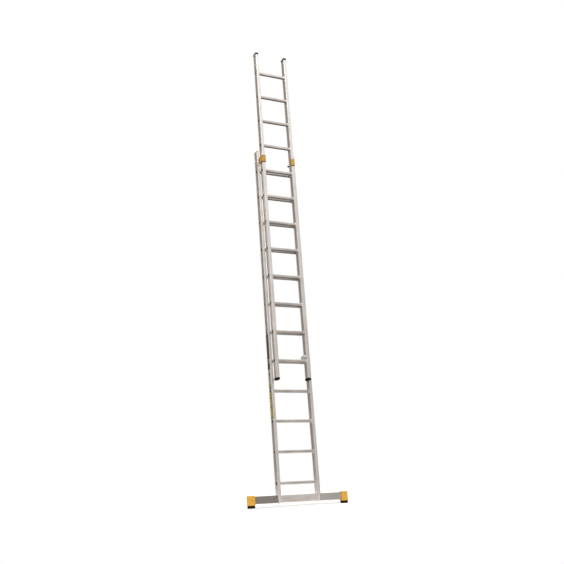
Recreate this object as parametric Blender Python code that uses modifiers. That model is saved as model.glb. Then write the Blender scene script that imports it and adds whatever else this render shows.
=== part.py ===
"""Two-section aluminium extension ladder with a stabiliser bar.

The ladder stands upright. X runs along the rungs, +Y points from the climber to the wall, +Z up the stiles. The
origin is on the ground, in the middle of the ladder's footprint. The narrower fly section slides up and down in
front of the wider base section, inside two guide brackets, and two pivoting hooks hold it on a base rung.
"""

import math

import bmesh
import bpy
from mathutils import Matrix, Vector

# Driving dimensions, in metres.
PITCH = 0.280  # from rung to rung
RUNG_COUNT = 12  # in each section
EXTENDED_PITCHES = 4  # how far the fly section stands above the base section
GAP = 0.0003  # between faces that touch
WALL = 0.002  # of the extrusions

FIRST_RUNG_Z = 0.2025  # middle of the lowest base rung above the ground
RUNG_SIZE = 0.028
RUNG_CORNER = 0.006
RUNG_PROUD = 0.0006  # how far a rung end stands out of the stile
TREAD_RIDGES = 4
TREAD_RIDGE_HEIGHT = 0.001

FLY_HALF_WIDTH = 0.177
FLY_STILE_WIDTH = 0.0285
FLY_STILE_DEPTH = 0.0645
FLY_FRONT_Y = -0.0555
FLY_BELOW = 0.648 * PITCH  # stile below its lowest rung
FLY_ABOVE = 0.81 * PITCH  # stile above its highest rung

BASE_HALF_WIDTH = 0.2126
BASE_STILE_WIDTH = 0.0260
BASE_STILE_DEPTH = 0.066
BASE_FRONT_Y = -0.001
BASE_ABOVE = 0.745 * PITCH

STILE_CORNER = 0.0032
GROOVE_DEPTH = 0.0009
GROOVE_WIDTH = 0.0035
GROOVE_OFFSET = 0.022  # from the middle of the stile's side face

BAR_HALF_LENGTH = 0.4965
BAR_DEPTH = 0.030
BAR_HEIGHT = 0.066
BAR_TOP_Z = FIRST_RUNG_Z - 0.369 * PITCH
BAR_FRONT_Y = 0.0165
SADDLE_PLATE = 0.004  # thickness of the saddle's plate and tongues
SADDLE_PLUG = 0.014  # how far the saddle reaches into the stile
TONGUE_HALF_WIDTHS = (0.0118, 0.0070)  # at the shoulder and at the tip
TONGUE_SHOULDER = 0.020  # where a tongue starts to narrow, below the bar's top
STABILISER_BOLT_RADIUS = 0.005
STABILISER_BOLT_HEAD = 0.0065
STABILISER_NUT_HEIGHT = 0.008

STABILISER_CAP = (0.064, 0.042, 0.0835)
STABILISER_CAP_END = 0.0055  # how far the cap goes past the bar's end
FOOT_PAD_HEIGHT = 0.0217
FOOT_PAD_LENGTH = 0.060
FOOT_PAD_INSET = 0.0015  # in from the cap's front and rear faces
SOLE_EDGE = 0.005
SOLE_GROOVES = 3
SOLE_GROOVE = 0.003

SLEEVE_CAP_HEIGHT = 0.021
SLEEVE_CAP_WALL = 0.0014
SLEEVE_CAP_END = 0.004
TOP_CAP_FLANGE = 0.012
TOP_CAP_PLUG = 0.020

GUIDE_HEIGHT = 0.068
GUIDE_WALL = 0.0055  # across the front
GUIDE_SIDE_WALL = 0.0050
GUIDE_LIP_WALL = 0.004
GUIDE_LIP_DEPTH = 0.010  # how far the lip reaches round the stile's inner corner
GUIDE_PAD_START = FLY_FRONT_Y + 0.066  # where the side wall thickens to meet the base stile
GUIDE_END_MARGIN = 0.013  # behind the bolt
GUIDE_CORNER = 0.004
GUIDE_RIM_HEIGHT = 0.006
GUIDE_RIM_PROUD = 0.0012
GUIDE_CLEARANCE = 0.0012
GUIDE_MIDDLE_Z = FIRST_RUNG_Z + 11.425 * PITCH
GUIDE_BOLT_Y = FLY_FRONT_Y + 0.105
GUIDE_BOLT_RADIUS = 0.004
GUIDE_BOLT_HEAD = (0.008, 0.0045)  # radius and height
GUIDE_BOLT_REACH = 0.0185  # inwards of the bracket's inner face
DOME_NUT_RADIUS = 0.0095
DOME_NUT_LENGTH = 0.0265
DOME_NUT_SKIRT = 0.0105  # radius

HOOK_THICKNESS = 0.005
HOOK_PIVOT = (FLY_FRONT_Y + 0.024, 0.046)  # y, and height above the fly section's lowest rung
HOOK_BOLT_RADIUS = 0.005
HOOK_BOLT_HEAD = (0.009, 0.0038)  # radius and height
HOOK_NUT_HEIGHT = 0.005
HOOK_EYE_RADIUS = 0.0135
HOOK_ARM_TOP = 0.014  # above the pivot
HOOK_LEG_WIDTH = 0.0105
HOOK_LEG_CLEARANCE = 0.0014  # from the rung's back
HOOK_CATCH_CLEARANCE = 0.0012  # from the rung's front

# Derived places.
FLY_FIRST_RUNG_Z = FIRST_RUNG_Z + EXTENDED_PITCHES * PITCH
FLY_MIDDLE_Y = FLY_FRONT_Y + FLY_STILE_DEPTH / 2
BASE_MIDDLE_Y = BASE_FRONT_Y + BASE_STILE_DEPTH / 2
BAR_MIDDLE_Y = BAR_FRONT_Y + BAR_DEPTH / 2
BASE_STILE_BOTTOM = BAR_TOP_Z + SADDLE_PLATE + 2 * GAP
BASE_STILE_TOP = FIRST_RUNG_Z + (RUNG_COUNT - 1) * PITCH + BASE_ABOVE
FLY_STILE_BOTTOM = FLY_FIRST_RUNG_Z - FLY_BELOW
FLY_STILE_TOP = FLY_FIRST_RUNG_Z + (RUNG_COUNT - 1) * PITCH + FLY_ABOVE
FLY_INNER_X = FLY_HALF_WIDTH - FLY_STILE_WIDTH
BASE_INNER_X = BASE_HALF_WIDTH - BASE_STILE_WIDTH
BASE_STILE_X = BASE_HALF_WIDTH - BASE_STILE_WIDTH / 2
PLUG_INSET = WALL + GROOVE_DEPTH + GAP  # in from a base stile's side faces

SIDES = (("left", -1), ("right", 1))
TO_AXIS = {
    "X": Matrix(((0, 0, 1), (1, 0, 0), (0, 1, 0))).to_4x4(),  # outline in Y, Z
    "Y": Matrix(((1, 0, 0), (0, 0, -1), (0, 1, 0))).to_4x4(),  # outline in X, Z
    "Z": Matrix.Identity(4),  # outline in X, Y
}


# Scene, collections and materials.
def clear_scene():
    for item in list(bpy.data.objects):
        bpy.data.objects.remove(item, do_unlink=True)


def new_collection(name):
    made = bpy.data.collections.new(name)
    bpy.context.scene.collection.children.link(made)
    return made


def new_material(name, colour, metallic, roughness):
    made = bpy.data.materials.new(name)
    made.use_nodes = True
    shader = made.node_tree.nodes["Principled BSDF"]
    shader.inputs["Base Color"].default_value = (*colour, 1)
    shader.inputs["Metallic"].default_value = metallic
    shader.inputs["Roughness"].default_value = roughness
    return made


clear_scene()
LADDER = new_collection("extension_ladder")
CUTTERS = new_collection("cutters")
ALUMINIUM = new_material("aluminium", (0.78, 0.77, 0.75), 1.0, 0.38)
RUNG_ALUMINIUM = new_material("rung_aluminium", (0.70, 0.69, 0.67), 1.0, 0.42)
STEEL = new_material("zinc_steel", (0.62, 0.62, 0.62), 1.0, 0.35)
YELLOW = new_material("yellow_plastic", (0.83, 0.47, 0.09), 0.0, 0.45)
PALE_YELLOW = new_material("pale_yellow_plastic", (0.80, 0.68, 0.36), 0.0, 0.50)
BLACK = new_material("black_plastic", (0.015, 0.014, 0.013), 0.0, 0.50)
RUBBER = new_material("black_rubber", (0.02, 0.02, 0.02), 0.0, 0.80)


# Outlines.
def arc(centre, radius, start, end, steps):
    """Points on an arc, with the angles in degrees."""
    turns = [math.radians(start + (end - start) * i / steps) for i in range(steps + 1)]
    return [(centre[0] + radius * math.cos(t), centre[1] + radius * math.sin(t)) for t in turns]


def rounded_box(width, height, radius, steps=2):
    points = []
    for i, (a, b) in enumerate(((1, 1), (-1, 1), (-1, -1), (1, -1))):
        corner = (a * (width / 2 - radius), b * (height / 2 - radius))
        points += arc(corner, radius, 90 * i, 90 * (i + 1), steps)
    return points


def shifted(points, dx, dy):
    return [(x + dx, y + dy) for x, y in points]


def mirrored(points, side):
    return [(side * x, y) for x, y in points]


def stile_outline(width, depth):
    """A box section whose two side faces each carry two shallow grooves, clear of the rung holes."""
    points = []
    for i, (a, b) in enumerate(((1, 1), (-1, 1), (-1, -1), (1, -1))):
        corner = (a * (width / 2 - STILE_CORNER), b * (depth / 2 - STILE_CORNER))
        points += arc(corner, STILE_CORNER, 90 * i, 90 * (i + 1), 3)
    return groove_side(points, width)


def groove_side(points, width):
    """Adds the grooves to the left face (going down) and to the right face (going up) of a rounded box."""
    made = []
    count = len(points)
    for i, point in enumerate(points):
        made.append(point)
        after = points[(i + 1) % count]
        on_side = abs(abs(point[0]) - width / 2) < 1e-6 and abs(point[0] - after[0]) < 1e-6
        if not on_side or abs(after[1] - point[1]) < GROOVE_OFFSET:
            continue
        outward = 1 if point[0] > 0 else -1
        heading = 1 if after[1] > point[1] else -1
        for middle in (-heading * GROOVE_OFFSET, heading * GROOVE_OFFSET):
            edge = point[0]
            floor = edge - outward * GROOVE_DEPTH
            near = middle - heading * GROOVE_WIDTH / 2
            far = middle + heading * GROOVE_WIDTH / 2
            slope = heading * GROOVE_DEPTH
            made += [(edge, near), (floor, near + slope), (floor, far - slope), (edge, far)]
    return made


def tread_outline():
    """A rounded square with ridges on its top, the tread. Outline in Y, Z."""
    body = RUNG_SIZE - TREAD_RIDGE_HEIGHT
    points = shifted(rounded_box(RUNG_SIZE, body, RUNG_CORNER), 0, -TREAD_RIDGE_HEIGHT / 2)
    first_left_corner = 3
    top = RUNG_SIZE / 2 - TREAD_RIDGE_HEIGHT
    flat = RUNG_SIZE - 2 * RUNG_CORNER
    width = flat / (2 * TREAD_RIDGES)
    ridges = []
    for i in range(TREAD_RIDGES):
        start = flat / 2 - (2 * i + 0.5) * width
        crest = top + TREAD_RIDGE_HEIGHT
        inset = width * 0.2
        ridges += [(start, top), (start - inset, crest), (start - width + inset, crest), (start - width, top)]
    return points[:first_left_corner] + ridges + points[first_left_corner:]


# Solids.
def finish(item, name, material, bevel=0.0, segments=2, smooth=True):
    item.name = name
    item.data.name = name
    if bevel:
        edges = item.modifiers.new("rounded_edges", "BEVEL")
        edges.width = bevel
        edges.segments = segments
        edges.limit_method = "ANGLE"
        edges.angle_limit = math.radians(40)
    if smooth:
        item.data.shade_smooth()
        item.data.set_sharp_from_angle(angle=math.radians(32))
    item.data.materials.clear()
    item.data.materials.append(material)
    return item


def prism(loops, low, high, axis):
    """Extrudes closed outlines along an axis from low to high; a loop inside another is a hole."""
    curve = bpy.data.curves.new("outline", "CURVE")
    curve.dimensions = "2D"
    curve.fill_mode = "BOTH"
    curve.extrude = (high - low) / 2
    for loop in loops:
        spline = curve.splines.new("POLY")
        spline.points.add(len(loop) - 1)
        for point, (a, b) in zip(spline.points, loop):
            point.co = (a, b, 0, 1)
        spline.use_cyclic_u = True
    drawn = bpy.data.objects.new("outline", curve)
    LADDER.objects.link(drawn)
    seen = drawn.evaluated_get(bpy.context.evaluated_depsgraph_get())
    mesh = bpy.data.meshes.new_from_object(seen)
    bpy.data.objects.remove(drawn, do_unlink=True)
    bpy.data.curves.remove(curve)
    work = bmesh.new()
    work.from_mesh(mesh)
    bmesh.ops.remove_doubles(work, verts=work.verts, dist=1e-6)
    bmesh.ops.dissolve_degenerate(work, edges=work.edges, dist=1e-7)
    bmesh.ops.translate(work, verts=work.verts, vec=(0, 0, along(axis, low, high)))
    bmesh.ops.transform(work, matrix=TO_AXIS[axis], verts=work.verts)
    bmesh.ops.recalc_face_normals(work, faces=work.faces)
    work.to_mesh(mesh)
    work.free()
    made = bpy.data.objects.new("prism", mesh)
    LADDER.objects.link(made)
    return made


def along(axis, low, high):
    """The outline plane's own height: the Y axis runs against the outline's normal."""
    middle = (low + high) / 2
    return -middle if axis == "Y" else middle


def rod(radius, low, high, axis, vertices=16):
    return prism([arc((0, 0), radius, 0, 360 - 360 / vertices, vertices - 1)], low, high, axis)


def turned(profile, steps=20):
    """A solid of revolution about its own Z, from a profile of (radius, height) points listed from top to bottom."""
    mesh = bpy.data.meshes.new("profile")
    edges = [(i, i + 1) for i in range(len(profile) - 1)]
    mesh.from_pydata([(r, 0, z) for r, z in profile], edges, [])
    made = bpy.data.objects.new("turned", mesh)
    LADDER.objects.link(made)
    screw = made.modifiers.new("turn", "SCREW")
    screw.steps = steps
    screw.render_steps = steps
    screw.use_merge_vertices = True
    screw.merge_threshold = 0.00001
    screw.use_smooth_shade = True
    return made


def as_cutter(item, name):
    item.name = name
    for owner in list(item.users_collection):
        owner.objects.unlink(item)
    CUTTERS.objects.link(item)
    item.hide_render = True
    item.display_type = "WIRE"
    return item


def boolean(item, other, operation):
    step = item.modifiers.new(operation.lower(), "BOOLEAN")
    step.operation = operation
    step.solver = "EXACT"
    step.object = other
    return item


def cut(item, cutter, name):
    return boolean(item, as_cutter(cutter, name), "DIFFERENCE")


def join(item, other, name):
    return boolean(item, as_cutter(other, name), "UNION")


def copy_along_z(item, count):
    steps = item.modifiers.new("repeat", "ARRAY")
    steps.count = count
    steps.use_relative_offset = False
    steps.use_constant_offset = True
    steps.constant_offset_displace = (0, 0, PITCH)
    return item


def place(item, parent, location=(0, 0, 0), rotation=(0, 0, 0)):
    item.location = Vector(location) - parent_place(parent)
    item.rotation_euler = rotation
    item.parent = parent
    return item


def parent_place(parent):
    spot = Vector((0, 0, 0))
    while parent is not None:
        spot += parent.location
        parent = parent.parent
    return spot


def new_empty(name, location, parent=None):
    made = bpy.data.objects.new(name, None)
    LADDER.objects.link(made)
    return place(made, parent, location)


# Sections.
def stile(name, side, half_width, width, depth, bottom, top, first_rung, y):
    """A hollow extrusion with a hole through both side walls for each rung."""
    inside = rounded_box(width - 2 * WALL - 2 * GROOVE_DEPTH, depth - 2 * WALL, STILE_CORNER - WALL)
    item = prism([stile_outline(width, depth), inside], bottom, top, "Z")
    hole = rounded_box(RUNG_SIZE + 2 * GAP, RUNG_SIZE + 2 * GAP, RUNG_CORNER)
    reach = width
    cutter = copy_along_z(prism([hole], -reach, reach, "X"), RUNG_COUNT)
    x = side * (half_width - width / 2)
    cutter.location = (x, y, first_rung)
    cut(item, cutter, name + "_rung_holes")
    finish(item, name, ALUMINIUM)
    return item, x


def rung_mesh(name, half_width):
    inner = RUNG_SIZE - 2 * WALL - TREAD_RIDGE_HEIGHT
    bore = shifted(rounded_box(inner + TREAD_RIDGE_HEIGHT, inner, RUNG_CORNER - WALL, 1), 0, -TREAD_RIDGE_HEIGHT / 2)
    end = half_width + RUNG_PROUD
    item = prism([tread_outline(), bore], -end, end, "X")
    return finish(item, name, RUNG_ALUMINIUM)


def rungs(section, half_width, y, first_z, parent):
    first = rung_mesh(f"{section}_rung_01", half_width)
    for i in range(RUNG_COUNT):
        item = first if i == 0 else bpy.data.objects.new(f"{section}_rung_{i + 1:02d}", first.data)
        if i:
            LADDER.objects.link(item)
        place(item, parent, (0, y, first_z + i * PITCH))


def base_section(parent):
    sizes = (BASE_HALF_WIDTH, BASE_STILE_WIDTH, BASE_STILE_DEPTH)
    for label, side in SIDES:
        item, x = stile(
            f"base_{label}_stile", side, *sizes, BASE_STILE_BOTTOM, BASE_STILE_TOP, FIRST_RUNG_Z, BASE_MIDDLE_Y
        )
        bolt_hole = rod(GUIDE_BOLT_RADIUS + GAP, -BASE_STILE_WIDTH, BASE_STILE_WIDTH, "X")
        bolt_hole.location = (x, GUIDE_BOLT_Y, GUIDE_MIDDLE_Z)
        cut(item, bolt_hole, f"base_{label}_stile_bolt_hole")
        place(item, parent, (x, BASE_MIDDLE_Y, 0))
        base_top_cap(label, x, parent)
    rungs("base", BASE_HALF_WIDTH, BASE_MIDDLE_Y, FIRST_RUNG_Z, parent)


def plug_outline():
    """What fits inside a base stile, with a small gap all round."""
    depth = BASE_STILE_DEPTH - 2 * (WALL + GAP)
    return rounded_box(BASE_STILE_WIDTH - 2 * PLUG_INSET, depth, STILE_CORNER - WALL)


def base_top_cap(label, x, parent):
    """A flange on the stile's end, with a plug that reaches into it."""
    low = GAP
    flange = rounded_box(BASE_STILE_WIDTH + 0.001, BASE_STILE_DEPTH + 0.001, STILE_CORNER, 3)
    item = prism([flange], low, low + TOP_CAP_FLANGE, "Z")
    finish(item, f"base_top_cap_{label}", PALE_YELLOW, bevel=0.0015)
    body = prism([plug_outline()], -TOP_CAP_PLUG, low + TOP_CAP_FLANGE / 2, "Z")
    at = (x, BASE_MIDDLE_Y, BASE_STILE_TOP)
    body.location = at
    join(item, body, f"base_top_cap_{label}_plug")
    place(item, parent, at)


def fly_section(parent):
    sizes = (FLY_HALF_WIDTH, FLY_STILE_WIDTH, FLY_STILE_DEPTH)
    for label, side in SIDES:
        item, x = stile(
            f"fly_{label}_stile", side, *sizes, FLY_STILE_BOTTOM, FLY_STILE_TOP, FLY_FIRST_RUNG_Z, FLY_MIDDLE_Y
        )
        pivot_hole = rod(HOOK_BOLT_RADIUS + GAP, -FLY_STILE_WIDTH / 2, FLY_STILE_WIDTH / 2, "X")
        pivot_hole.location = (side * FLY_INNER_X, HOOK_PIVOT[0], FLY_FIRST_RUNG_Z + HOOK_PIVOT[1])
        cut(item, pivot_hole, f"fly_{label}_stile_pivot_hole")
        place(item, parent, (x, FLY_MIDDLE_Y, 0))
        sleeve_cap(f"fly_top_cap_{label}", x, FLY_STILE_TOP, 1, parent)
        sleeve_cap(f"fly_bottom_cap_{label}", x, FLY_STILE_BOTTOM, -1, parent)
    rungs("fly", FLY_HALF_WIDTH, FLY_MIDDLE_Y, FLY_FIRST_RUNG_Z, parent)


def sleeve_cap(name, x, end_z, up, parent):
    """A cup that slips over a stile's end. up is 1 on the top end and -1 on the bottom end."""
    outer = 2 * (SLEEVE_CAP_WALL + GAP)
    outline = rounded_box(FLY_STILE_WIDTH + outer, FLY_STILE_DEPTH + outer, STILE_CORNER + SLEEVE_CAP_WALL, 3)
    inner = rounded_box(FLY_STILE_WIDTH + 2 * GAP, FLY_STILE_DEPTH + 2 * GAP, STILE_CORNER, 3)
    closed = up * (SLEEVE_CAP_END + GAP)
    mouth = closed - up * SLEEVE_CAP_HEIGHT
    item = prism([outline], min(closed, mouth), max(closed, mouth), "Z")
    finish(item, name, BLACK, bevel=0.0008, segments=1)
    beyond = mouth - up * 0.005
    hollow = prism([inner], min(up * GAP, beyond), max(up * GAP, beyond), "Z")
    at = (x, FLY_MIDDLE_Y, end_z)
    hollow.location = at
    cut(item, hollow, name + "_hollow")
    place(item, parent, at)


# Guide brackets.
def guide_outline(side):
    """From above: a wall across the fly stile's front, a lip round its inner corner, and a long wall back to the
    base stile."""
    inner = FLY_HALF_WIDTH + GUIDE_CLEARANCE
    outer = inner + GUIDE_SIDE_WALL
    front = FLY_FRONT_Y - GUIDE_CLEARANCE
    face = front - GUIDE_WALL
    lip_inner = FLY_INNER_X - GUIDE_CLEARANCE
    lip_outer = lip_inner - GUIDE_LIP_WALL
    lip_back = FLY_FRONT_Y + GUIDE_LIP_DEPTH
    pad = BASE_INNER_X - GAP
    back = GUIDE_BOLT_Y + GUIDE_END_MARGIN
    corner = GUIDE_CORNER
    points = [(lip_outer, lip_back), (lip_outer, face + corner)]
    points += arc((lip_outer + corner, face + corner), corner, 180, 270, 3)[1:]
    points += arc((outer - corner, face + corner), corner, 270, 360, 3)
    points += [(outer, GUIDE_PAD_START - corner), (pad, GUIDE_PAD_START), (pad, back), (inner, back)]
    points += [(inner, front), (lip_inner, front), (lip_inner, lip_back)]
    return mirrored(points, side)


def guide_bracket(label, side, parent):
    item = prism([guide_outline(side)], -GUIDE_HEIGHT / 2, GUIDE_HEIGHT / 2, "Z")
    finish(item, f"guide_bracket_{label}", YELLOW, bevel=0.0008, segments=1)
    at = (0, 0, GUIDE_MIDDLE_Z)
    for end, low in (("upper", GUIDE_HEIGHT / 2 - GUIDE_RIM_HEIGHT), ("lower", -GUIDE_HEIGHT / 2)):
        band = prism([rim_outline(side)], low, low + GUIDE_RIM_HEIGHT, "Z")
        band.location = at
        join(item, band, f"guide_bracket_{label}_{end}_rim")
    hole = rod(GUIDE_BOLT_RADIUS + GAP, -0.02, 0.02, "X")
    hole.location = (side * BASE_INNER_X, GUIDE_BOLT_Y, GUIDE_MIDDLE_Z)
    cut(item, hole, f"guide_bracket_{label}_bolt_hole")
    place(item, parent, at)


def rim_outline(side):
    """The front part of the bracket, a little larger all round its outer side."""
    overlap = 0.001
    inner = FLY_HALF_WIDTH + GUIDE_CLEARANCE + overlap
    outer = inner - overlap + GUIDE_SIDE_WALL + GUIDE_RIM_PROUD
    front = FLY_FRONT_Y - GUIDE_CLEARANCE - overlap
    face = front + overlap - GUIDE_WALL - GUIDE_RIM_PROUD
    lip_inner = FLY_INNER_X - GUIDE_CLEARANCE - overlap
    lip_outer = lip_inner + overlap - GUIDE_LIP_WALL - GUIDE_RIM_PROUD
    lip_back = FLY_FRONT_Y + GUIDE_LIP_DEPTH - overlap
    side_back = BASE_FRONT_Y - GUIDE_CORNER
    corner = GUIDE_CORNER + overlap
    points = [(lip_outer, lip_back), (lip_outer, face + corner)]
    points += arc((lip_outer + corner, face + corner), corner, 180, 270, 3)[1:]
    points += arc((outer - corner, face + corner), corner, 270, 360, 3)
    points += [(outer, side_back), (inner, side_back)]
    points += [(inner, front), (lip_inner, front), (lip_inner, lip_back)]
    return mirrored(points, side)


def guide_fasteners(label, side, parent):
    """A pan-head bolt from outside, and a long black dome nut on the inner side of the bracket."""
    rim, head = GUIDE_BOLT_HEAD
    outside = BASE_HALF_WIDTH + GAP
    face = FLY_HALF_WIDTH + GUIDE_CLEARANCE - GAP
    length = outside - face + GUIDE_BOLT_REACH
    radius = GUIDE_BOLT_RADIUS
    crown = [(0, head), (rim * 0.5, head), (rim * 0.85, head * 0.7), (rim, head * 0.2), (rim, 0)]
    bolt = turned(crown + [(radius, 0), (radius, -length), (0, -length)])
    finish(bolt, f"guide_bolt_{label}", STEEL)
    turn = (0, math.radians(90 * side), 0)
    place(bolt, parent, (side * outside, GUIDE_BOLT_Y, GUIDE_MIDDLE_Z), turn)
    bore = radius + GAP
    depth = GUIDE_BOLT_REACH + 0.001
    full, long, skirt = DOME_NUT_RADIUS, DOME_NUT_LENGTH, DOME_NUT_SKIRT
    dome = [(0, long), (full * 0.45, long * 0.975), (full * 0.8, long * 0.88), (full, long * 0.72)]
    dome += [(full, long * 0.12), (skirt, long * 0.10), (skirt, 0), (bore, 0), (bore, depth), (0, depth)]
    nut = turned(dome)
    finish(nut, f"guide_nut_{label}", BLACK)
    place(nut, parent, (side * face, GUIDE_BOLT_Y, GUIDE_MIDDLE_Z), (0, math.radians(-90 * side), 0))


# Stabiliser.
def stabiliser_bar(parent):
    outer = rounded_box(BAR_DEPTH, BAR_HEIGHT, 0.003)
    inner = rounded_box(BAR_DEPTH - 2 * WALL, BAR_HEIGHT - 2 * WALL, 0.001, 1)
    item = prism([outer, inner], -BAR_HALF_LENGTH, BAR_HALF_LENGTH, "X")
    finish(item, "stabiliser_bar", ALUMINIUM)
    at = (0, BAR_MIDDLE_Y, BAR_TOP_Z - BAR_HEIGHT / 2)
    for label, side in SIDES:
        hole = rod(STABILISER_BOLT_RADIUS + GAP, -BAR_HEIGHT, BAR_HEIGHT, "Z")
        hole.location = (side * BASE_STILE_X, BAR_MIDDLE_Y, at[2])
        cut(item, hole, f"stabiliser_bar_{label}_bolt_hole")
    place(item, parent, at)


def saddle(label, side, parent):
    """A plate between the stile's end and the bar, a plug up the stile, and two tapered tongues down over the bar."""
    at = (side * BASE_STILE_X, BAR_MIDDLE_Y, BAR_TOP_Z)
    plate_low = GAP
    plate_top = GAP + SADDLE_PLATE
    shift = BASE_MIDDLE_Y - BAR_MIDDLE_Y
    plate = shifted(rounded_box(BASE_STILE_WIDTH + 0.001, BASE_STILE_DEPTH + 0.001, STILE_CORNER), 0, shift)
    item = prism([plate], plate_low, plate_top, "Z")
    finish(item, f"stabiliser_bracket_{label}", ALUMINIUM)
    half_top, half_bottom = TONGUE_HALF_WIDTHS
    overlap = 0.001
    tip = half_bottom - BAR_HEIGHT - 0.001
    tongue = [(-half_top, plate_top - overlap), (-half_top, -TONGUE_SHOULDER), (-half_bottom, tip)]
    tongue += arc((0, tip), half_bottom, 180, 360, 4)[1:]
    tongue += [(half_top, -TONGUE_SHOULDER), (half_top, plate_top - overlap)]
    reach = BAR_DEPTH / 2 + GAP + SADDLE_PLATE
    legs = prism([tongue], -reach, reach, "Y")
    legs.location = at
    join(item, legs, f"stabiliser_bracket_{label}_tongues")
    block = prism([shifted(plug_outline(), 0, shift)], plate_top - overlap, plate_top + SADDLE_PLUG, "Z")
    block.location = at
    join(item, block, f"stabiliser_bracket_{label}_plug")
    channel_top, channel_low = plate_low + GAP / 2, -BAR_HEIGHT - 0.01
    channel = rounded_box(BAR_DEPTH + 2 * GAP, channel_top - channel_low, 0.003)
    space = prism([shifted(channel, 0, (channel_top + channel_low) / 2)], -0.03, 0.03, "X")
    space.location = at
    cut(item, space, f"stabiliser_bracket_{label}_channel")
    hole = rod(STABILISER_BOLT_RADIUS + GAP, -BAR_HEIGHT, BAR_HEIGHT, "Z")
    hole.location = at
    cut(item, hole, f"stabiliser_bracket_{label}_bolt_hole")
    place(item, parent, at)


def hexagon(across, turn=0.0):
    radius = across / math.sqrt(3)
    return arc((0, 0), radius, turn, turn + 300, 5)


def stabiliser_fasteners(label, side, parent):
    """A hexagon bolt from below, through the bar and the saddle, with its nut inside the stile."""
    x = side * BASE_STILE_X
    under = BAR_TOP_Z - BAR_HEIGHT - GAP
    nut_low = BAR_TOP_Z + GAP + SADDLE_PLATE + SADDLE_PLUG + GAP
    tip = nut_low + STABILISER_NUT_HEIGHT + 0.003
    radius = STABILISER_BOLT_RADIUS
    bolt = rod(radius, -0.002, tip - under, "Z")
    finish(bolt, f"stabiliser_bolt_{label}", STEEL)
    head = prism([hexagon(0.016)], -STABILISER_BOLT_HEAD, 0, "Z")
    head.location = (x, BAR_MIDDLE_Y, under)
    join(bolt, head, f"stabiliser_bolt_{label}_head")
    place(bolt, parent, (x, BAR_MIDDLE_Y, under))
    thread = arc((0, 0), radius + GAP, 0, 337.5, 15)
    nut = prism([hexagon(0.016), thread], 0, STABILISER_NUT_HEIGHT, "Z")
    finish(nut, f"stabiliser_nut_{label}", STEEL)
    place(nut, parent, (x, BAR_MIDDLE_Y, nut_low))


def stabiliser_end(label, side, parent):
    """A moulded cap over the bar's end and the rubber sole below it."""
    length, depth, height = STABILISER_CAP
    low = FOOT_PAD_HEIGHT + GAP
    outer_x = BAR_HALF_LENGTH + STABILISER_CAP_END
    middle_x = side * (outer_x - length / 2)
    at = (middle_x, BAR_MIDDLE_Y, low + height / 2)
    outline = rounded_box(length, height, 0.003)
    cap = prism([outline], -depth / 2, depth / 2, "Y")
    finish(cap, f"stabiliser_cap_{label}", YELLOW, bevel=0.002)
    mouth = outer_x - length - 0.01
    stop = BAR_HALF_LENGTH + GAP
    socket = rounded_box(BAR_DEPTH + 2 * GAP, BAR_HEIGHT + 2 * GAP, 0.003)
    space = prism([socket], min(side * mouth, side * stop), max(side * mouth, side * stop), "X")
    space.location = (0, BAR_MIDDLE_Y, BAR_TOP_Z - BAR_HEIGHT / 2)
    cut(cap, space, f"stabiliser_cap_{label}_socket")
    place(cap, parent, at)
    pad = prism([sole_outline(depth - 2 * FOOT_PAD_INSET)], -FOOT_PAD_LENGTH / 2, FOOT_PAD_LENGTH / 2, "X")
    finish(pad, f"foot_pad_{label}", RUBBER)
    place(pad, parent, (middle_x, BAR_MIDDLE_Y, 0))


def sole_outline(width):
    """A block with its lower edges cut off and grooves along its sole. Outline in Y, Z."""
    half = width / 2
    land = half - SOLE_EDGE
    points = [(half, FOOT_PAD_HEIGHT), (-half, FOOT_PAD_HEIGHT), (-half, SOLE_EDGE), (-land, 0)]
    space = 2 * land / (SOLE_GROOVES + 1)
    for i in range(SOLE_GROOVES):
        middle = -land + (i + 1) * space
        near, far = middle - SOLE_GROOVE / 2, middle + SOLE_GROOVE / 2
        points += [(near, 0), (near, SOLE_GROOVE), (far, SOLE_GROOVE), (far, 0)]
    return points + [(land, 0), (half, SOLE_EDGE)]


# Hooks.
def hook_outline():
    """From the side, measured from the pivot: an eye, an arm over the base rung and a leg down behind it."""
    rung_y = BASE_MIDDLE_Y - HOOK_PIVOT[0]
    rung_z = -HOOK_PIVOT[1]
    half = RUNG_SIZE / 2
    seat = rung_z + half + GAP
    behind = rung_y + half + HOOK_LEG_CLEARANCE
    ahead = rung_y - half - HOOK_CATCH_CLEARANCE
    rear = behind + HOOK_LEG_WIDTH
    tip = rung_z - half - 0.003
    points = arc((0, 0), HOOK_EYE_RADIUS, 95, 265, 8)
    points += [(ahead - 0.022, -HOOK_EYE_RADIUS), (ahead - 0.0065, seat + 0.006), (ahead - 0.006, seat - 0.006)]
    points += [(ahead - 0.001, seat - 0.008), (ahead + 0.0015, seat)]
    points += [(behind - 0.003, seat), (behind, seat - 0.003), (behind, tip + 0.006), (behind + 0.003, tip)]
    points += arc((rear - 0.004, tip + 0.004), 0.004, 270, 360, 3)
    points += arc((rear - 0.020, HOOK_ARM_TOP - 0.020), 0.020, 0, 90, 5)
    return points


def hook(label, side, parent):
    """A plate against the stile's inner wall, on its own empty at the pivot."""
    at = (0, HOOK_PIVOT[0], FLY_FIRST_RUNG_Z + HOOK_PIVOT[1])
    pivot = new_empty(f"hook_{label}_pivot", at, parent)
    near = FLY_INNER_X - GAP
    far = near - HOOK_THICKNESS
    bore = arc((0, 0), HOOK_BOLT_RADIUS + GAP, 0, 337.5, 15)
    item = prism([hook_outline(), bore], min(side * near, side * far), max(side * near, side * far), "X")
    finish(item, f"hook_{label}", STEEL)
    place(item, pivot, at)
    hook_fasteners(label, side, at, parent)


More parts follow.
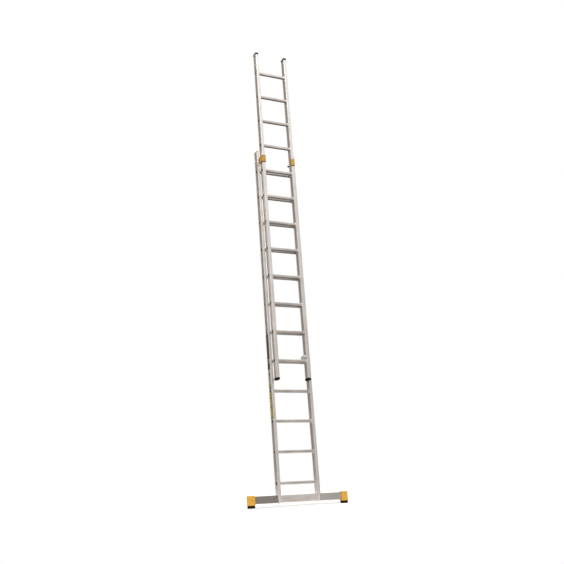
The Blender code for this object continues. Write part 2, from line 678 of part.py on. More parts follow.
def hook_fasteners(label, side, at, parent):
    """The shouldered pivot bolt, with its head on the inner side of the hook, and a nut inside the stile."""
    rim, head = HOOK_BOLT_HEAD
    radius = HOOK_BOLT_RADIUS
    seat = FLY_INNER_X - 2 * GAP - HOOK_THICKNESS
    nut_low = FLY_INNER_X + WALL + GROOVE_DEPTH + GAP
    length = nut_low + HOOK_NUT_HEIGHT + 0.002 - seat
    crown = [(0, head), (rim * 0.66, head), (rim * 0.94, head * 0.6), (rim, 0), (radius, 0)]
    bolt = turned(crown + [(radius, -length), (0, -length)])
    finish(bolt, f"hook_bolt_{label}", STEEL)
    place(bolt, parent, (side * seat, at[1], at[2]), (0, math.radians(-90 * side), 0))
    thread = arc((0, 0), radius + GAP, 0, 337.5, 15)
    low, high = side * nut_low, side * (nut_low + HOOK_NUT_HEIGHT)
    nut = prism([hexagon(0.015), thread], min(low, high), max(low, high), "X")
    finish(nut, f"hook_nut_{label}", STEEL)
    place(nut, parent, (0, at[1], at[2]))


def main():
    base = new_empty("base_section", (0, 0, 0))
    fly = new_empty("fly_section", (0, FLY_MIDDLE_Y, FLY_FIRST_RUNG_Z), base)
    base_section(base)
    fly_section(fly)
    stabiliser_bar(base)
    for label, side in SIDES:
        guide_bracket(label, side, base)
        guide_fasteners(label, side, base)
        saddle(label, side, base)
        stabiliser_fasteners(label, side, base)
        stabiliser_end(label, side, base)
        hook(label, side, fly)
    bpy.context.view_layer.update()


main()
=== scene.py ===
"""Looks of the two-section aluminium extension ladder.

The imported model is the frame, in metres: X along the rungs, +Y from the climber to the wall, +Z up the
stiles. The CAD nodes keep their shapes and get procedural materials. Small pieces are added to them: beads
round the rungs, rivets, washers, labels, hook caps, and ribs on the mouldings. The ladder stands upright in
its own frame, so the ground and the camera are tilted instead, by the angle at which the ladder leans.
"""

import math

import bmesh
import bpy
from mathutils import Matrix, Vector


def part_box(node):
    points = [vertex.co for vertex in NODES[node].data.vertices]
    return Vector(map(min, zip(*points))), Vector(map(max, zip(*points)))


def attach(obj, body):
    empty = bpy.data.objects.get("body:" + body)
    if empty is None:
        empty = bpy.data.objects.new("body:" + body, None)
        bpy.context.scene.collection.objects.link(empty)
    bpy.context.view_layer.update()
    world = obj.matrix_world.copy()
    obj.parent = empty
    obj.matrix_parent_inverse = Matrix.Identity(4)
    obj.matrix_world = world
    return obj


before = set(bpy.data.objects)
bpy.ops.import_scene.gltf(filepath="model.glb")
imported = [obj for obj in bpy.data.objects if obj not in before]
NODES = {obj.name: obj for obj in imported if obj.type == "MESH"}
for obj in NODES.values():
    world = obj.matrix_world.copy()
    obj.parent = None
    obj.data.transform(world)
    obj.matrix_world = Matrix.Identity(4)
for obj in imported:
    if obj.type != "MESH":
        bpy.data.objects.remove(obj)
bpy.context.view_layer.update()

PITCH = 0.280
RUNG_COUNT = 12
RUNG_SIZE = 0.028
RUNG_CORNER = 0.006
SIDES = (("left", -1), ("right", 1))

LEAN = math.radians(9.7)  # of the ladder against a wall, which tilts the ground in the ladder's own frame
SIDE_LEAN = math.radians(-0.32)
GROUND_UP = Vector((math.sin(SIDE_LEAN), -math.sin(LEAN), math.cos(LEAN))).normalized()

CAMERA_PLACE = Vector((-3.3116, -6.6486, -0.1555))
CAMERA_AIM = Vector((-0.0295, -0.0005, 2.1121))
CAMERA_LENS = 50.55
CAMERA_SENSOR = 36.0


# Places read from the frame.
def middle(node):
    low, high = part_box(node)
    return (low + high) / 2


def rung_places(section):
    return [middle(f"{section}_rung_{i + 1:02d}") for i in range(RUNG_COUNT)]


BASE_LOW, BASE_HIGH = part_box("base_right_stile")
FLY_LOW, FLY_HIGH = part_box("fly_right_stile")
STILE_X = {"base": (BASE_LOW.x, BASE_HIGH.x), "fly": (FLY_LOW.x, FLY_HIGH.x)}


# Node helpers.
class Shader:
    """A material under construction: a Principled shader and short ways to add nodes before it."""

    def __init__(self, name):
        self.material = bpy.data.materials.new(name)
        self.material.use_nodes = True
        self.nodes = self.material.node_tree.nodes
        self.links = self.material.node_tree.links
        self.surface = self.nodes["Principled BSDF"]

    def add(self, kind, **settings):
        made = self.nodes.new(kind)
        for key, value in settings.items():
            setattr(made, key, value)
        return made

    def link(self, source, target):
        self.links.new(source, target)

    def fill(self, socket, value):
        if hasattr(value, "is_linked"):
            self.link(value, socket)
        else:
            socket.default_value = value

    def place(self, scale=(1, 1, 1), turn=(0, 0, 0)):
        """Object coordinates, stretched: large numbers are fine detail along that axis."""
        mapping = self.add("ShaderNodeMapping")
        mapping.inputs["Scale"].default_value = scale
        mapping.inputs["Rotation"].default_value = turn
        self.link(self.add("ShaderNodeTexCoord").outputs["Object"], mapping.inputs["Vector"])
        return mapping.outputs["Vector"]

    def noise(self, scale, stretch=(1, 1, 1), detail=3.0, rough=0.5, twist=0.0):
        made = self.add("ShaderNodeTexNoise")
        made.inputs["Scale"].default_value = scale
        made.inputs["Detail"].default_value = detail
        made.inputs["Roughness"].default_value = rough
        made.inputs["Distortion"].default_value = twist
        self.link(self.place(stretch), made.inputs["Vector"])
        return made.outputs["Fac"]

    def cells(self, scale, stretch=(1, 1, 1)):
        made = self.add("ShaderNodeTexVoronoi", feature="DISTANCE_TO_EDGE")
        made.inputs["Scale"].default_value = scale
        self.link(self.place(stretch), made.inputs["Vector"])
        return made.outputs["Distance"]

    def remap(self, value, low, high, to_low=0.0, to_high=1.0):
        made = self.add("ShaderNodeMapRange")
        self.link(value, made.inputs["Value"])
        made.inputs["From Min"].default_value = low
        made.inputs["From Max"].default_value = high
        made.inputs["To Min"].default_value = to_low
        made.inputs["To Max"].default_value = to_high
        return made.outputs["Result"]

    def math(self, kind, first, second=0.0):
        made = self.add("ShaderNodeMath", operation=kind)
        self.fill(made.inputs[0], first)
        self.fill(made.inputs[1], second)
        return made.outputs["Value"]

    def mix(self, factor, first, second):
        made = self.add("ShaderNodeMix", data_type="RGBA")
        self.fill(made.inputs["Factor"], factor)
        self.fill(made.inputs[6], first)
        self.fill(made.inputs[7], second)
        return made.outputs[2]

    def bump(self, height, strength, distance, base=None):
        made = self.add("ShaderNodeBump")
        made.inputs["Strength"].default_value = strength
        made.inputs["Distance"].default_value = distance
        self.link(height, made.inputs["Height"])
        if base is not None:
            self.link(base, made.inputs["Normal"])
        return made.outputs["Normal"]

    def edge_mask(self):
        """1 on rounded corners and 0 on faces that lie square to the axes."""
        parts = self.add("ShaderNodeSeparateXYZ")
        self.link(self.add("ShaderNodeTexCoord").outputs["Normal"], parts.inputs["Vector"])
        sizes = [self.math("ABSOLUTE", parts.outputs[axis]) for axis in "XYZ"]
        largest = self.math("MAXIMUM", self.math("MAXIMUM", sizes[0], sizes[1]), sizes[2])
        return self.remap(largest, 0.98, 0.80)

    def finish(self, colour=None, roughness=None, normal=None, metallic=0.0, **plain):
        if colour is not None:
            self.fill(self.surface.inputs["Base Color"], colour)
        if roughness is not None:
            self.fill(self.surface.inputs["Roughness"], roughness)
        if normal is not None:
            self.link(normal, self.surface.inputs["Normal"])
        self.surface.inputs["Metallic"].default_value = metallic
        for key, value in plain.items():
            self.surface.inputs[key].default_value = value
        return self.material


def colour(red, green, blue):
    return (red, green, blue, 1.0)


# Materials.
def drawn_aluminium(name, along, bright, dull, rough_low, rough_high, make=None, painted_shade=None):
    """Extruded aluminium: die lines along the extrusion, cloudy oxide, fine scuffs and polished corners."""
    make = make or Shader(name)
    fine = tuple(1.0 if axis == along else 160.0 for axis in "XYZ")
    coarse = tuple(0.6 if axis == along else 45.0 for axis in "XYZ")
    die_lines = make.noise(6.0, fine, detail=2.0)
    bands = make.noise(3.0, coarse, detail=2.0)
    clouds = make.noise(7.0, detail=5.0, rough=0.6)
    scuffs = make.remap(make.noise(60.0, (1.0, 1.0, 0.25), detail=6.0, rough=0.75, twist=0.6), 0.60, 0.72)
    worn = make.edge_mask()
    tone = make.math("ADD", make.math("MULTIPLY", clouds, 0.6), make.math("MULTIPLY", bands, 0.4))
    shade = make.mix(make.remap(tone, 0.36, 0.64), dull, bright)
    shade = make.mix(make.math("MULTIPLY", worn, 0.3), shade, colour(0.84, 0.82, 0.80))
    shade = make.mix(make.math("MULTIPLY", scuffs, 0.25), shade, colour(0.50, 0.485, 0.46))
    # An optional mask of painted shade darkens the metal towards a dark grey.
    if painted_shade is not None:
        shade = make.mix(painted_shade, shade, colour(0.26, 0.235, 0.22))
    base = make.remap(make.math("ADD", clouds, die_lines), 0.7, 1.3, rough_low, rough_high)
    roughness = make.math("ADD", base, make.math("MULTIPLY", scuffs, 0.12))
    roughness = make.math("SUBTRACT", roughness, make.math("MULTIPLY", worn, 0.04))
    normal = make.bump(die_lines, 0.22, 0.00025)
    normal = make.bump(bands, 0.12, 0.0006, normal)
    normal = make.bump(scuffs, 0.15, 0.0002, normal)
    return make.finish(shade, roughness, normal, metallic=1.0)


def bar_aluminium():
    """The stabiliser bar: painted shade darkens it outside the stiles, more on the left than on the right, in
    place of a darker reflection there.
    """
    make = Shader("bar_aluminium_look")
    parts = make.add("ShaderNodeSeparateXYZ")
    make.link(make.place(), parts.inputs["Vector"])
    # Painted shade outside the stiles, ragged at its edge: strong on the left, weaker on the right.
    ragged = make.math("MULTIPLY", make.remap(make.noise(14.0, detail=5.0), 0.3, 0.7, -1.0, 1.0), 0.010)
    x = make.math("ADD", parts.outputs["X"], ragged)
    left = make.remap(x, -0.192, -0.214, 0.0, 0.92)
    right = make.remap(x, 0.192, 0.214, 0.0, 0.48)
    bright, dull = colour(0.80, 0.76, 0.725), colour(0.68, 0.64, 0.61)
    painted_shade = make.math("ADD", left, right)
    return drawn_aluminium(make.material.name, "X", bright, dull, 0.30, 0.44, make, painted_shade)


def tread_aluminium():
    """The rungs: drawn along X, with fine cross-cut serrations on the tread and shoe-dulled ridges."""
    make = Shader("rung_aluminium_look")
    lines = make.noise(6.0, (1.0, 160.0, 160.0), detail=2.0)
    clouds = make.noise(9.0, (0.6, 1.0, 1.0), detail=5.0, rough=0.6)
    shade = make.mix(make.remap(clouds, 0.36, 0.64), colour(0.50, 0.465, 0.435), colour(0.63, 0.588, 0.555))
    parts = make.add("ShaderNodeSeparateXYZ")
    make.link(make.add("ShaderNodeTexCoord").outputs["Normal"], parts.inputs["Vector"])
    tread = make.remap(parts.outputs["Z"], 0.6, 0.95)
    grime = make.math("MULTIPLY", tread, make.remap(make.noise(30.0, detail=6.0), 0.42, 0.62))
    shade = make.mix(make.math("MULTIPLY", grime, 0.55), shade, colour(0.30, 0.285, 0.265))
    serration = make.add("ShaderNodeTexWave", bands_direction="X")
    serration.inputs["Scale"].default_value = 95.0
    make.link(make.place(), serration.inputs["Vector"])
    cuts = make.math("MULTIPLY", serration.outputs["Fac"], tread)
    roughness = make.remap(make.math("ADD", clouds, lines), 0.7, 1.3, 0.34, 0.48)
    roughness = make.math("ADD", roughness, make.math("MULTIPLY", grime, 0.2))
    normal = make.bump(lines, 0.2, 0.00025)
    normal = make.bump(cuts, 0.5, 0.0006, normal)
    return make.finish(shade, roughness, normal, metallic=1.0)


def zinc_steel():
    """Bright zinc plating: crystalline patches, a faint yellow cast and small handling marks."""
    make = Shader("zinc_steel_look")
    crystals = make.cells(220.0)
    clouds = make.noise(40.0, detail=4.0)
    shade = make.mix(make.remap(clouds, 0.35, 0.65), colour(0.84, 0.84, 0.83), colour(0.95, 0.95, 0.94))
    shade = make.mix(make.remap(crystals, 0.0, 0.25, 0.2, 0.0), shade, colour(0.70, 0.69, 0.64))
    roughness = make.remap(make.noise(90.0, detail=3.0), 0.35, 0.65, 0.24, 0.38)
    normal = make.bump(make.noise(900.0, detail=2.0), 0.08, 0.0001)
    return make.finish(shade, roughness, normal, metallic=0.35)


def moulded_plastic(name, deep, light, scuff, gloss=0.5, low=0.38, high=0.52):
    """Moulded plastic: fine spark-eroded grain, uneven gloss, paler rubbed corners and a little dirt."""
    make = Shader(name)
    pits = make.noise(1400.0, detail=2.0)
    clouds = make.noise(22.0, detail=5.0, rough=0.6)
    worn = make.edge_mask()
    dirt = make.remap(make.noise(75.0, detail=6.0, rough=0.7), 0.58, 0.74)
    shade = make.mix(make.remap(clouds, 0.35, 0.65), deep, light)
    shade = make.mix(make.math("MULTIPLY", worn, 0.35), shade, scuff)
    shade = make.mix(make.math("MULTIPLY", dirt, 0.22), shade, colour(0.18, 0.12, 0.06))
    roughness = make.math("ADD", make.remap(clouds, 0.35, 0.65, low, high), make.math("MULTIPLY", dirt, 0.15))
    normal = make.bump(pits, 0.18, 0.00012)
    return make.finish(shade, roughness, normal, **{"Specular IOR Level": gloss})


def black_rubber():
    """Matt rubber with a patchy dusty bloom."""
    make = Shader("black_rubber_look")
    dust = make.remap(make.noise(48.0, detail=6.0, rough=0.7), 0.42, 0.68)
    clean, dusty = colour(0.004, 0.003, 0.002), colour(0.035, 0.031, 0.027)
    shade = make.mix(make.math("MULTIPLY", dust, 0.3), clean, dusty)
    roughness = make.remap(dust, 0.0, 1.0, 0.62, 0.88)
    normal = make.bump(make.noise(700.0, detail=3.0), 0.35, 0.0002)
    return make.finish(shade, roughness, normal, **{"Specular IOR Level": 0.08})


def printed_film(name, ink, faded, rough=0.38):
    """A printed vinyl label: slightly uneven ink, rubbed in places."""
    make = Shader(name)
    rubbed = make.remap(make.noise(120.0, detail=6.0, rough=0.7), 0.55, 0.72)
    shade = make.mix(make.math("MULTIPLY", rubbed, 0.6), ink, faded)
    roughness = make.remap(make.noise(35.0, detail=4.0), 0.3, 0.7, rough - 0.06, rough + 0.12)
    normal = make.bump(make.noise(260.0, detail=2.0), 0.05, 0.0002)
    return make.finish(shade, roughness, normal)


STILE_LOOK = drawn_aluminium(
    "stile_aluminium_look", "Z", colour(0.84, 0.80, 0.765), colour(0.73, 0.69, 0.655), 0.30, 0.42
)
BAR_LOOK = bar_aluminium()
SADDLE_LOOK = drawn_aluminium(
    "saddle_aluminium_look", "Z", colour(0.87, 0.84, 0.81), colour(0.76, 0.73, 0.70), 0.34, 0.46
)
RUNG_LOOK = tread_aluminium()
STEEL_LOOK = zinc_steel()
YELLOW_LOOK = moulded_plastic(
    "yellow_plastic_look", colour(0.59, 0.30, 0.022), colour(0.68, 0.36, 0.032), colour(0.74, 0.45, 0.09)
)
OCHRE_LOOK = moulded_plastic(
    "ochre_plastic_look", colour(0.50, 0.265, 0.022), colour(0.60, 0.33, 0.032), colour(0.70, 0.43, 0.09)
)
PALE_LOOK = moulded_plastic(
    "pale_yellow_plastic_look", colour(0.66, 0.52, 0.22), colour(0.78, 0.64, 0.30), colour(0.85, 0.76, 0.48)
)
BLACK_LOOK = moulded_plastic(
    "black_plastic_look",
    colour(0.003, 0.002, 0.001),
    colour(0.007, 0.005, 0.003),
    colour(0.022, 0.019, 0.015),
    gloss=0.14,
)
RUBBER_LOOK = black_rubber()
INK_LOOK = printed_film("black_print_look", colour(0.022, 0.020, 0.014), colour(0.16, 0.15, 0.10))
OLIVE_LOOK = printed_film("olive_print_look", colour(0.17, 0.145, 0.075), colour(0.26, 0.23, 0.14))
LABEL_LOOK = printed_film("yellow_label_look", colour(0.50, 0.385, 0.085), colour(0.56, 0.47, 0.22))
SILVER_LOOK = printed_film("silver_label_look", colour(0.42, 0.41, 0.40), colour(0.55, 0.54, 0.53), 0.30)


# Mesh helpers.
def new_piece(name, body, look, mesh, smooth_angle=35):
    made = bpy.data.objects.new(name, mesh)
    bpy.context.scene.collection.objects.link(made)
    mesh.materials.append(look)
    mesh.shade_smooth()
    mesh.set_sharp_from_angle(angle=math.radians(smooth_angle))
    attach(made, body)
    return made


def mesh_of(work, name):
    bmesh.ops.recalc_face_normals(work, faces=work.faces)
    mesh = bpy.data.meshes.new(name)
    work.to_mesh(mesh)
    work.free()
    return mesh


def arc(radius, start, end, steps, centre=(0.0, 0.0)):
    turns = [math.radians(start + (end - start) * i / steps) for i in range(steps + 1)]
    return [(centre[0] + radius * math.cos(t), centre[1] + radius * math.sin(t)) for t in turns]


def rounded_box(width, height, radius, steps=4):
    points = []
    for i, (a, b) in enumerate(((1, 1), (-1, 1), (-1, -1), (1, -1))):
        corner = (a * (width / 2 - radius), b * (height / 2 - radius))
        points += arc(radius, 90 * i, 90 * (i + 1), steps, corner)
    return points


def add_loft(work, rings, place, closed):
    """Joins rings of points, each in its own plane, by quads. closed joins the last ring to the first."""
    made = [[work.verts.new(place @ Vector(point)) for point in ring] for ring in rings]
    count = len(made[0])
    pairs = list(zip(made, made[1:]))
    if closed:
        pairs.append((made[-1], made[0]))
    for low, high in pairs:
        for i in range(count):
            j = (i + 1) % count
            work.faces.new((low[i], low[j], high[j], high[i]))
    if not closed:
        work.faces.new(list(reversed(made[0])))
        work.faces.new(made[-1])


def turned_rings(profile, steps):
    """Rings about Z of a profile of (radius, height) points; none of the radii is 0."""
    turns = [2 * math.pi * i / steps for i in range(steps)]
    return [[(r * math.cos(t), r * math.sin(t), z) for t in turns] for r, z in profile]


def face_towards(direction, spot):
    """A matrix that carries +Z to a direction, and the origin to a spot."""
    return Matrix.Translation(spot) @ Vector(direction).to_track_quat("Z", "Y").to_matrix().to_4x4()


# The rungs' swaged ends.
# How far each ring stands out from the rung, and its height above the wall. The first and last touch both.
COLLAR = (
    (0.0002, 0.0), (0.0046, 0.0), (0.0050, 0.0010), (0.0049, 0.0026), (0.0042, 0.0038), (0.0032, 0.0044),
    (0.0022, 0.0050), (0.0015, 0.0062), (0.0008, 0.0078), (0.0002, 0.0088),
)
LIP = ((0.0002, 0.0), (0.0020, 0.0), (0.0021, 0.0004), (0.0018, 0.0008), (0.0011, 0.0010), (0.0002, 0.0009))


def collar_rings(profile):
    """Rings round a rung that stands on a wall at Z 0."""
    rings = []
    for grow, height in profile:
        outline = rounded_box(RUNG_SIZE + 2 * grow, RUNG_SIZE + 2 * grow, RUNG_CORNER + grow)
        rings.append([(a, b, height) for a, b in outline])
    return rings


def rung_collars(section):
    """Where each rung meets the stiles: a bulged collar on the inner wall, a rolled lip on the outer one."""
    inner, outer = STILE_X[section]
    for kind, x, way, profile in (("collars", inner, -1, COLLAR), ("lips", outer, 1, LIP)):
        work = bmesh.new()
        for spot in rung_places(section):
            for _, side in SIDES:
                wall = Vector((side * x, spot.y, spot.z))
                add_loft(work, collar_rings(profile), face_towards((side * way, 0, 0), wall), closed=True)
        name = f"{section}_rung_{kind}"
        new_piece(name, section, RUNG_LOOK, mesh_of(work, name))


# Small fasteners.
def domed_head(radius, height):
    profile = [(radius, 0.0), (radius, height * 0.25), (radius * 0.88, height * 0.62)]
    profile += [(radius * 0.62, height * 0.9), (radius * 0.25, height), (radius * 0.05, height)]
    return turned_rings(profile, 20)


def rivets(name, body, spots, direction, radius=0.0026, height=0.0009):
    work = bmesh.new()
    for spot in spots:
        add_loft(work, domed_head(radius, height), face_towards(direction, Vector(spot)), closed=False)
    return new_piece(name, body, STEEL_LOOK, mesh_of(work, name))


def washer(work, place, inner, outer, thickness):
    edge = thickness * 0.3
    profile = [(inner, 0), (outer, 0), (outer, thickness - edge)]
    profile += [(outer - edge, thickness), (inner, thickness)]
    add_loft(work, turned_rings(profile, 28), place, closed=True)


def fly_rivets():
    """Small rivets on the fly stiles' front faces: by the end caps and by the hooks."""
    front = FLY_LOW.y
    pivot = middle("hook_bolt_right").z
    heights = (FLY_LOW.z + 0.022, pivot, pivot + 1.61 * PITCH, FLY_HIGH.z - 0.115)
    for label, side in SIDES:
        x = middle(f"fly_{label}_stile").x + 0.006
        rivets(f"fly_rivets_{label}", "fly", [(x, front, z) for z in heights], (0, -1, 0))


# Labels. They carry plain blocks and rules only.
def add_tile(work, low, high, lift, thickness, corner=0.002):
    """A thin rounded tile on the base left stile's outer face, between two corners given as (y, z)."""
    width, height = high[0] - low[0], high[1] - low[1]
    across, up = (low[0] + high[0]) / 2, (low[1] + high[1]) / 2
    outline = rounded_box(width, height, min(corner, width / 3, height / 3), 3)
    depths = (lift, lift + thickness)
    rings = [[(-BASE_HIGH.x - depth, across + a, up + b) for a, b in outline] for depth in depths]
    add_loft(work, rings, Matrix.Identity(4), closed=False)


def stile_labels():
    """Blocks above, a small silver plate, and yellow panels with dark rules, between the rung ends."""
    centre = (BASE_LOW.y + BASE_HIGH.y) / 2
    half = 0.0225
    rungs = [spot.z for spot in rung_places("base")]
    clear = RUNG_SIZE / 2 + 0.006
    film, ink = 0.00025, 0.00012
    backing = bmesh.new()
    blocks = bmesh.new()
    for low, high in ((rungs[3] + 0.205, rungs[4] - clear), (rungs[4] + clear, rungs[5] - clear)):
        add_tile(backing, (centre - half, low), (centre + half, high), 0, film)
        count = max(1, round((high - low) / 0.027))
        step = (high - low) / count
        for i in range(count):
            start = low + (i + 0.16) * step
            stop = low + (i + 0.84) * step
            add_tile(blocks, (centre - half + 0.002, start), (centre + half - 0.002, stop), film, ink, 0.004)
    new_piece("block_label_film", "base", OLIVE_LOOK, mesh_of(backing, "block_label_film"))
    new_piece("block_label_print", "base", INK_LOOK, mesh_of(blocks, "block_label_print"))
    plate = bmesh.new()
    add_tile(plate, (centre - 0.014, rungs[3] + 0.086), (centre + 0.014, rungs[3] + 0.176), 0, film)
    new_piece("small_silver_label", "base", SILVER_LOOK, mesh_of(plate, "small_silver_label"))
    marks = bmesh.new()
    for start, stop in ((0.146, 0.168), (0.132, 0.136), (0.122, 0.126), (0.112, 0.116), (0.095, 0.103)):
        low, high = rungs[3] + start, rungs[3] + stop
        add_tile(marks, (centre - 0.011, low), (centre + 0.011, high), film, ink, 0.001)
    new_piece("small_label_marks", "base", INK_LOOK, mesh_of(marks, "small_label_marks"))
    yellow = bmesh.new()
    rules = bmesh.new()
    for low, high in ((rungs[2] + clear, rungs[3] - clear), (rungs[3] + clear, rungs[3] + 0.062)):
        add_tile(yellow, (centre - half, low), (centre + half, high), 0, film)
        count = max(2, round((high - low) / 0.03))
        step = (high - low) / count
        for i in range(count):
            tall = 0.42 if i % 3 == 0 else 0.16
            start = low + (i + 0.5 - tall / 2) * step
            stop = low + (i + 0.5 + tall / 2) * step
            add_tile(rules, (centre - half + 0.007, start), (centre + half - 0.007, stop), film, ink, 0.001)
    new_piece("yellow_label_film", "base", LABEL_LOOK, mesh_of(yellow, "yellow_label_film"))
    new_piece("yellow_label_rules", "base", INK_LOOK, mesh_of(rules, "yellow_label_rules"))


# Washers, plate details and moulded ribs.
def washers():
    for label, side in SIDES:
        work = bmesh.new()
        bolt = middle(f"guide_bolt_{label}")
        wall = Vector((side * (BASE_HIGH.x + 0.0001), bolt.y, bolt.z))
        washer(work, face_towards((side, 0, 0), wall), 0.0083, 0.0108, 0.0014)
        name = f"guide_washer_{label}"
        new_piece(name, "base", STEEL_LOOK, mesh_of(work, name))


def guide_shadow_bands():
    """A thin black band round the fly stile just below each guide bracket's wall: painted shade for the dark
    line of shade under that wall.
    """
    inner_x, outer_x = STILE_X["fly"]
    for label, side in SIDES:
        low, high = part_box(f"guide_bracket_{label}")
        near, far = 0.0011, 0.0046
        front = FLY_LOW.y
        back = BASE_LOW.y - 0.004
        lip = front + 0.009
        path = [(inner_x - near, lip), (inner_x - near, front - near), (outer_x + near, front - near)]
        path += [(outer_x + near, back), (outer_x + far, back), (outer_x + far, front - far)]
        path += [(inner_x - far, front - far), (inner_x - far, lip)]
        outline = [(side * x, y) for x, y in path]
        # The black band of painted shade sits just under the bracket's bottom edge.
        levels = ((low.z - 0.0034, 0.0004), (low.z - 0.0028, 0.0), (low.z - 0.0002, 0.0))
        centre = Vector((side * (inner_x + outer_x) / 2, (front + back) / 2))
        rings = []
        for z, shrink in levels:
            rings.append([(x + (centre.x - x) * shrink, y + (centre.y - y) * shrink, z) for x, y in outline])
        work = bmesh.new()
        add_loft(work, rings, Matrix.Identity(4), closed=False)
        bmesh.ops.triangulate(work, faces=[face for face in work.faces if len(face.verts) > 4])
        name = f"guide_shadow_band_{label}"
        new_piece(name, "base", BLACK_LOOK, mesh_of(work, name))


def hook_hubs():
    """A bright domed cap on the head of each hook's pivot bolt."""
    for label, side in SIDES:
        low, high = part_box(f"hook_bolt_{label}")
        head = low.x if side > 0 else high.x
        work = bmesh.new()
        profile = [(0.0062, 0.0), (0.0062, 0.0012), (0.0056, 0.0028), (0.0040, 0.0041)]
        profile += [(0.0020, 0.0048), (0.0004, 0.0050)]
        place = face_towards((-side, 0, 0), Vector((head, (low.y + high.y) / 2, (low.z + high.z) / 2)))
        add_loft(work, turned_rings(profile, 24), place, closed=False)
        name = f"hook_hub_{label}"
        new_piece(name, "fly", STEEL_LOOK, mesh_of(work, name))


def cap_ribs():
    """Grip ribs on the front and rear of each stabiliser end cap."""
    for label, side in SIDES:
        low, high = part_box(f"stabiliser_cap_{label}")
        work = bmesh.new()
        outer = high.x if side > 0 else low.x
        for face, out in ((low.y, -1), (high.y, 1)):
            for i in range(3):
                x = outer - side * (0.010 + 0.0045 * i)
                spot = Vector((x, face - out * 0.0002, (low.z + high.z) / 2))
                profile = [(a, b) for a, b in rounded_box(0.0018, high.z - low.z - 0.016, 0.0008, 3)]
                rings = [[(a, b, 0.0) for a, b in profile]]
                rings.append([(a * 0.7, b * 0.995, 0.0009) for a, b in profile])
                place = Matrix.Translation(spot) @ Matrix.Rotation(math.radians(90) * -out, 4, "X").inverted()
                add_loft(work, rings, place, closed=False)
        name = f"cap_ribs_{label}"
        new_piece(name, "base", YELLOW_LOOK, mesh_of(work, name))


# Carried-over CAD nodes.
def look_for(node):
    if "rung" in node:
        return RUNG_LOOK
    if node.endswith("stile"):
        return STILE_LOOK
    if node == "stabiliser_bar":
        return BAR_LOOK
    if node.startswith("stabiliser_bracket"):
        return SADDLE_LOOK
    if node.startswith("guide_bracket"):
        return OCHRE_LOOK
    if node.startswith("stabiliser_cap"):
        return YELLOW_LOOK
    if node.startswith("base_top_cap"):
        return PALE_LOOK
    if node.startswith("foot_pad"):
        return RUBBER_LOOK
    if node.startswith(("fly_top_cap", "fly_bottom_cap", "guide_nut")):
        return BLACK_LOOK
    return STEEL_LOOK


def dress_nodes():
    for name, node in NODES.items():
        node.data.materials.clear()
        node.data.materials.append(look_for(name))
        node.data.shade_smooth()
        node.data.set_sharp_from_angle(angle=math.radians(32))


# Stage, light and camera.
FLOOR_RADIUS = 2.0
FADE_START = 0.6
FADE_END = 1.8


def make_floor():
    """A pale disc of ground under the feet, tilted with the lean, that fades into the white beyond it."""
    low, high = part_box("foot_pad_left")
    work = bmesh.new()
    bmesh.ops.create_circle(work, cap_ends=True, segments=96, radius=FLOOR_RADIUS)
    mesh = bpy.data.meshes.new("floor")
    work.to_mesh(mesh)
    work.free()
    floor = bpy.data.objects.new("floor", mesh)
    bpy.context.scene.collection.objects.link(floor)
    heel = Vector((0, high.y - 0.005, -0.0006))
    floor.matrix_world = face_towards(GROUND_UP, heel)
    make = Shader("pale_floor_look")
    reach = make.add("ShaderNodeVectorMath", operation="LENGTH")
    make.link(make.place(), reach.inputs[0])
    fade = make.remap(reach.outputs["Value"], FADE_START, FADE_END)
    tint = make.mix(make.noise(2.0, detail=3.0), colour(0.88, 0.875, 0.87), colour(0.92, 0.915, 0.91))
    make.finish(tint, 0.9)
    make.surface.inputs["Emission Color"].default_value = colour(1, 1, 1)
    make.surface.inputs["Emission Strength"].default_value = 0.30
    clear = make.add("ShaderNodeBsdfTransparent")
    both = make.add("ShaderNodeMixShader")
    output = make.nodes["Material Output"]
    make.link(fade, both.inputs["Fac"])
    make.link(make.surface.outputs["BSDF"], both.inputs[1])
    make.link(clear.outputs["BSDF"], both.inputs[2])
    make.link(both.outputs["Shader"], output.inputs["Surface"])
    mesh.materials.append(make.material)


FRONT_ROOM = ((0.0, 0.46), (0.38, 0.54), (0.48, 0.55), (0.60, 0.52), (0.70, 0.76), (0.80, 1.20), (1.0, 1.4))
BACK_ROOM = ((0.0, 0.08), (0.35, 0.13), (0.50, 0.25), (0.65, 0.28), (0.80, 0.33), (1.0, 0.6))


def make_world():
    """A soft room: bright ahead of and above the ladder, greyer behind it and below, white to the lens."""
    world = bpy.data.worlds.new("studio")
    bpy.context.scene.world = world
    world.use_nodes = True
    nodes, links = world.node_tree.nodes, world.node_tree.links
    nodes.clear()
    parts = nodes.new("ShaderNodeSeparateXYZ")
    links.new(nodes.new("ShaderNodeTexCoord").outputs["Generated"], parts.inputs["Vector"])
    front = room_ramp(nodes, links, parts, FRONT_ROOM)
    back = room_ramp(nodes, links, parts, BACK_ROOM)
    side = nodes.new("ShaderNodeMapRange")
    side.inputs["From Min"].default_value = -0.35
    side.inputs["From Max"].default_value = 0.35
    links.new(parts.outputs["Y"], side.inputs["Value"])
    blend = nodes.new("ShaderNodeMix")
    blend.data_type = "RGBA"
    links.new(side.outputs["Result"], blend.inputs["Factor"])
    links.new(front, blend.inputs[6])
    links.new(back, blend.inputs[7])
    lit = nodes.new("ShaderNodeBackground")
    links.new(blend.outputs[2], lit.inputs["Color"])
    plain = nodes.new("ShaderNodeBackground")
    plain.inputs["Color"].default_value = colour(1.0, 1.0, 1.0)
    choice = nodes.new("ShaderNodeMixShader")
    links.new(nodes.new("ShaderNodeLightPath").outputs["Is Camera Ray"], choice.inputs["Fac"])
    links.new(lit.outputs["Background"], choice.inputs[1])
    links.new(plain.outputs["Background"], choice.inputs[2])
    links.new(choice.outputs["Shader"], nodes.new("ShaderNodeOutputWorld").inputs["Surface"])


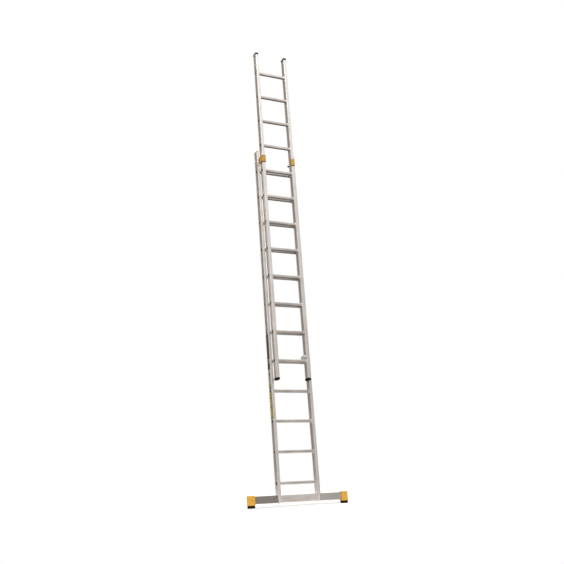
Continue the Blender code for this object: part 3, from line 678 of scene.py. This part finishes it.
def room_ramp(nodes, links, parts, stops):
    """Brightness by height: stops are (height from 0 at the nadir to 1 at the zenith, brightness)."""
    height = nodes.new("ShaderNodeMapRange")
    height.inputs["From Min"].default_value = -1.0
    links.new(parts.outputs["Z"], height.inputs["Value"])
    ramp = nodes.new("ShaderNodeValToRGB")
    elements = ramp.color_ramp.elements
    while len(elements) < len(stops):
        elements.new(0.5)
    for element, (spot, level) in zip(elements, stops):
        element.position = spot
        warm = max(0.0, 1.0 - level)
        element.color = (level * (1 + 0.06 * warm), level * (1 - 0.06 * warm), level * (1 - 0.17 * warm), 1.0)
    links.new(height.outputs["Result"], ramp.inputs["Fac"])
    return ramp.outputs["Color"]


def area_light(name, spot, aim, size, power, tint=(1.0, 1.0, 1.0)):
    lamp = bpy.data.lights.new(name, "AREA")
    lamp.shape = "RECTANGLE"
    lamp.size, lamp.size_y = size
    lamp.energy = power
    lamp.color = tint
    made = bpy.data.objects.new(name, lamp)
    bpy.context.scene.collection.objects.link(made)
    made.matrix_world = face_towards(Vector(spot) - Vector(aim), Vector(spot))
    return made


LAMP_AIM = (0, 0, 1.5)
KEY_WATTS = 820
FILL_WATTS = 120


def make_lights():
    """A key lamp high in front, and a weak fill lamp from the left."""
    area_light("key", (-1.5, -9.0, 13.0), LAMP_AIM, (5.0, 5.0), KEY_WATTS)
    area_light("fill", (-8.5, -2.0, 3.5), LAMP_AIM, (3.0, 5.0), FILL_WATTS)


def make_camera():
    """Looks up at the ladder from the climber's left, level with the tilted ground."""
    data = bpy.data.cameras.new("camera")
    data.lens = CAMERA_LENS
    data.sensor_width = CAMERA_SENSOR
    data.clip_end = 100
    ahead = (CAMERA_AIM - CAMERA_PLACE).normalized()
    right = ahead.cross(GROUND_UP).normalized()
    up = right.cross(ahead)
    made = bpy.data.objects.new("camera", data)
    bpy.context.scene.collection.objects.link(made)
    turn = Matrix((right, up, -ahead)).transposed().to_4x4()
    made.matrix_world = Matrix.Translation(CAMERA_PLACE) @ turn
    bpy.context.scene.camera = made


make_camera()
make_world()
make_lights()
make_floor()
dress_nodes()
rung_collars("base")
rung_collars("fly")
guide_shadow_bands()
hook_hubs()
fly_rivets()
stile_labels()
washers()
cap_ribs()
bpy.context.scene.view_settings.view_transform = "Standard"

bpy.context.view_layer.update()
